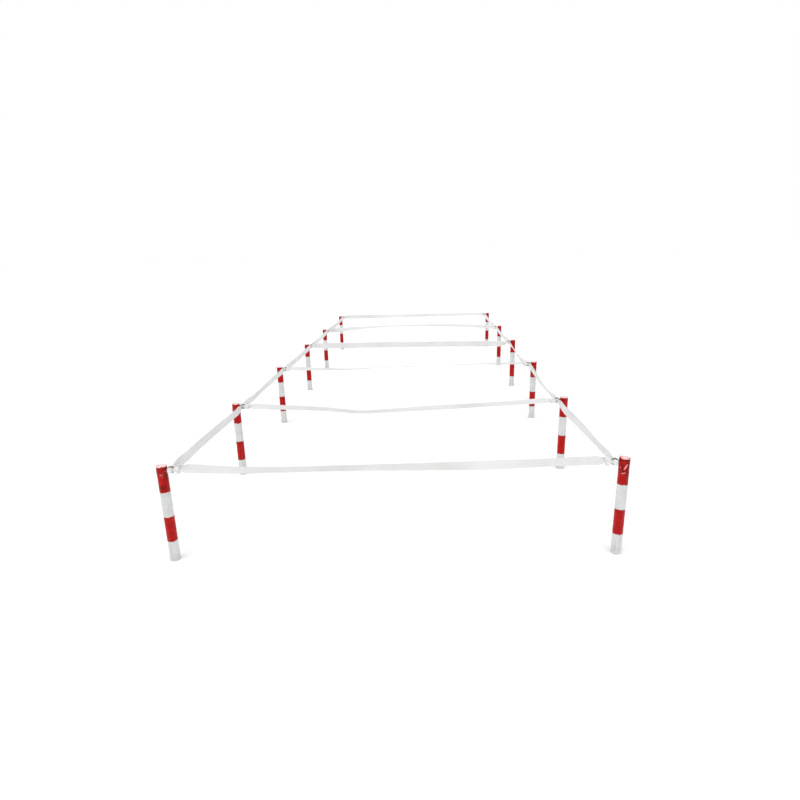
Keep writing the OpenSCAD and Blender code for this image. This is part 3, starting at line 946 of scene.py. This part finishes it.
def film_piece(name, side, row, z0, z1, head, rng, material):
    """A closed sleeve of film with an overlapped seam, wavy edges and creases. At the head it folds over."""
    a = full_turn(ROUND)
    levels = int((z1 - z0) / (HEAD_STEP if head else BAND_STEP))
    u = np.linspace(0, 1, levels)
    phase = rng.uniform(0, 2 * math.pi, 6)
    low_edge, high_edge = cut_edges(a, z0, z1, head, phase)
    z = low_edge[None, :] + (high_edge - low_edge)[None, :] * u[:, None]
    angle = np.broadcast_to(a[None, :], z.shape)
    seam_at = rng.uniform(0.8, 2.2) * (1 if rng.random() < 0.5 else -1)
    past_seam = wrapped(angle - seam_at - 0.10 * (z - z0) / BAND_H)
    seam = smooth((past_seam + 0.03) / 0.03) * (1 - smooth((past_seam - 0.42) / 0.06))
    near_head = smooth((z - (z1 - CREASED)) / CREASED) if head else 0.0
    facets = triangle(3 * angle + 95 * z + phase[4]) + 0.7 * triangle(4 * angle - 140 * z + phase[5])
    r = FILM_R + FILM_GAP + seam * 0.00045 + facets * (0.00012 + 0.00055 * near_head)
    folds = film_folds(side, row, z0, z1, head, rng)
    rise = creases(angle, z, folds)
    r = np.maximum(r + rise, FILM_R - 0.0002)
    # Valleys between the head's facets, which get painted shade.
    slack_painted_shade = np.clip(-facets / 1.7, 0, 1) ** 2 * near_head
    ridge_whitening_and_glint, hollow = film_marks(side, row, z0, z1, head, angle, z, folds, rise, slack_painted_shade)
    inner = np.full(ROUND, TUBE_R + FILM_GAP)
    if head:
        radii, tops, fold_r, ears = head_rows(r[-1], z1, side, row, rng, a, phase)
        under = z1 - 0.0004
        radii += [fold_r, np.full(ROUND, TUBE_R * 0.9), inner]
        tops += [np.full(ROUND, under), np.full(ROUND, under), np.full(ROUND, under - 0.0002)]
    else:
        radii, tops = [inner], [high_edge]
    radius = np.array([*r, *radii, inner])
    height = np.array([*z, *tops, low_edge])
    points = np.stack([radius * np.cos(a), radius * np.sin(a), height], 2).reshape(-1, 3)
    # Paling over the head: sun bleaching and a painted sheen.
    bleach_and_painted_sheen = np.zeros(radius.shape)
    if head:
        corner_rows, fold_rows = HEAD_ROWS
        paling = np.concatenate([np.linspace(0, 0.6, corner_rows), np.full(fold_rows, 0.95)])
        pale = paling[:, None] * (1 - 0.8 * np.clip(ears, 0, 1))[None, :]
        bleach_and_painted_sheen[levels:levels + len(pale)] = pale
    rest = np.zeros((len(radius) - levels, ROUND))
    marks = {
        "ridge_whitening_and_glint": np.concatenate([ridge_whitening_and_glint, rest]), "hollow": np.concatenate([hollow, rest]),
        "bleach_and_painted_sheen": bleach_and_painted_sheen,
    }
    faces = grid_faces(len(radius), ROUND, closed_rows=True)
    return make_object(name, to_row_frame(points, side, row), faces, material, marks=marks)


def add_film(side, row, materials):
    """Four bands from the head down: red and white in turn. The red laps a little over the white."""
    rng = post_rng(500, side, row)
    for band in range(BANDS):
        colour = "white" if band % 2 else "red"
        grow = 0 if colour == "white" else FILM_LAP
        z1 = POST_H - band * BAND_H + (grow if band else 0)
        z0 = POST_H - (band + 1) * BAND_H - grow if band < BANDS - 1 else 0
        name = f"film_{colour}_{side}_{row}_{band + 1}"
        piece = film_piece(name, side, row, z0, z1, band == 0, rng, materials[colour])
        declare(piece, f"{colour}_film_{side}_{row}")


# ---------------------------------------------------------------- eyes

def lathe_x(profile):
    """Points and faces of a shape turned about a level axis at the eye's height. profile has x, r pairs."""
    steps = 40
    a = full_turn(steps)
    rows = [np.stack([np.full(steps, x), r * np.cos(a), EYE_Z + r * np.sin(a)], 1) for x, r in profile]
    return np.concatenate(rows), grid_faces(len(rows), steps) + end_faces(len(rows), steps)


def add_eye(side, row, material):
    """A forged eye: its ring with a weld bead at the neck, a chamfered shoulder and the shank behind it."""
    rng = post_rng(700, side, row)
    around, section = 72, 20
    a, b = full_turn(around), full_turn(section)
    swell = 1 + 0.05 * np.exp(-((wrapped(a - math.pi) / 0.5) ** 2))
    rod = EYE_ROD / 2 * swell[:, None]
    radial = RING_R + rod * np.cos(b)[None, :]
    x = RING_X + radial * np.cos(a)[:, None]
    y = np.broadcast_to(rod * np.sin(b)[None, :], x.shape)
    z = EYE_Z + radial * np.sin(a)[:, None]
    ring = np.stack([x, y, z], 2).reshape(-1, 3), grid_faces(around, section, closed_rows=True)
    face, bead = FILM_R, 0.0006 * rng.uniform(0.8, 1.3)
    shoulder = 0.0075
    profile = [
        (face - 0.0145, 0.004), (face - 0.0002, 0.004), (face, shoulder - 0.0006), (face + 0.0005, shoulder),
        (face + 0.0014, shoulder), (face + 0.002, shoulder - 0.0007), (face + 0.0022, 0.0056),
        (face + 0.003, 0.0048 + bead), (face + 0.0044, 0.0042 + bead), (face + 0.0058, 0.0034),
    ]
    points, faces = joined([ring, lathe_x(profile)])
    piece = make_object(f"eye_{side}_{row}", to_row_frame(points, side, row), faces, material)
    declare(piece, f"eye_bolt_{side}_{row}")


# ---------------------------------------------------------------- the CAD pieces that stay

def finish_cad_node(node, material):
    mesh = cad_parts[node].data
    mesh.materials.clear()
    mesh.materials.append(material)


add_camera()
set_world()
add_lights()
add_floor()
scene = bpy.context.scene
scene.view_settings.view_transform = "Standard"

webbing = webbing_material("webbing_woven", (0.71, 0.71, 0.705), (0.63, 0.625, 0.615))
# The knots' webbing: a lighter copy of the same webbing, painted light that takes the shade out of the
# knots' folds.
knot_webbing_painted_light = webbing_material("webbing_woven_painted_light", (0.84, 0.84, 0.83), (0.76, 0.755, 0.74))
films = {
    "red": film_material(
        "film_red", deep=(0.30, 0.004, 0.006), bright=(0.40, 0.008, 0.007), shadowed=(0.10, 0.004, 0.005),
        scuffed=(0.50, 0.09, 0.08), whitening_and_highlight=(0.92, 0.26, 0.26), tint=(1, 0.35, 0.30), soil_share=0.5,
    ),
    "white": film_material(
        "film_white", deep=(0.52, 0.53, 0.52), bright=(0.60, 0.61, 0.60), shadowed=(0.42, 0.44, 0.38),
        scuffed=(0.26, 0.26, 0.255), whitening_and_highlight=(0.70, 0.71, 0.70), tint=(1, 1, 1), soil_share=0.6,
    ),
}
eye_steel = steel_material("steel_eye", (0.42, 0.38, 0.32), (0.20, 0.17, 0.14), 0.7, 0.40)
tube_steel = steel_material("steel_galvanised", (0.66, 0.67, 0.68), (0.50, 0.51, 0.53), 0.15, 0.40)
spike_steel = steel_material("steel_spike", (0.30, 0.29, 0.28), (0.18, 0.17, 0.16), 0.9, 0.50)
cap_plastic = cap_material()

for row in ROWS:
    add_cross_webbing(row, webbing)
for side in SIDES:
    add_side_webbing(side, webbing, knot_webbing_painted_light)
    for row in ROWS:
        add_knot(side, row, knot_webbing_painted_light)
        add_film(side, row, films)
        add_eye(side, row, eye_steel)
        finish_cad_node(f"post_tube_{side}_{row}", tube_steel)
finish_cad_node("threaded_inserts", tube_steel)
finish_cad_node("head_caps", cap_plastic)
finish_cad_node("ground_spikes", spike_steel)
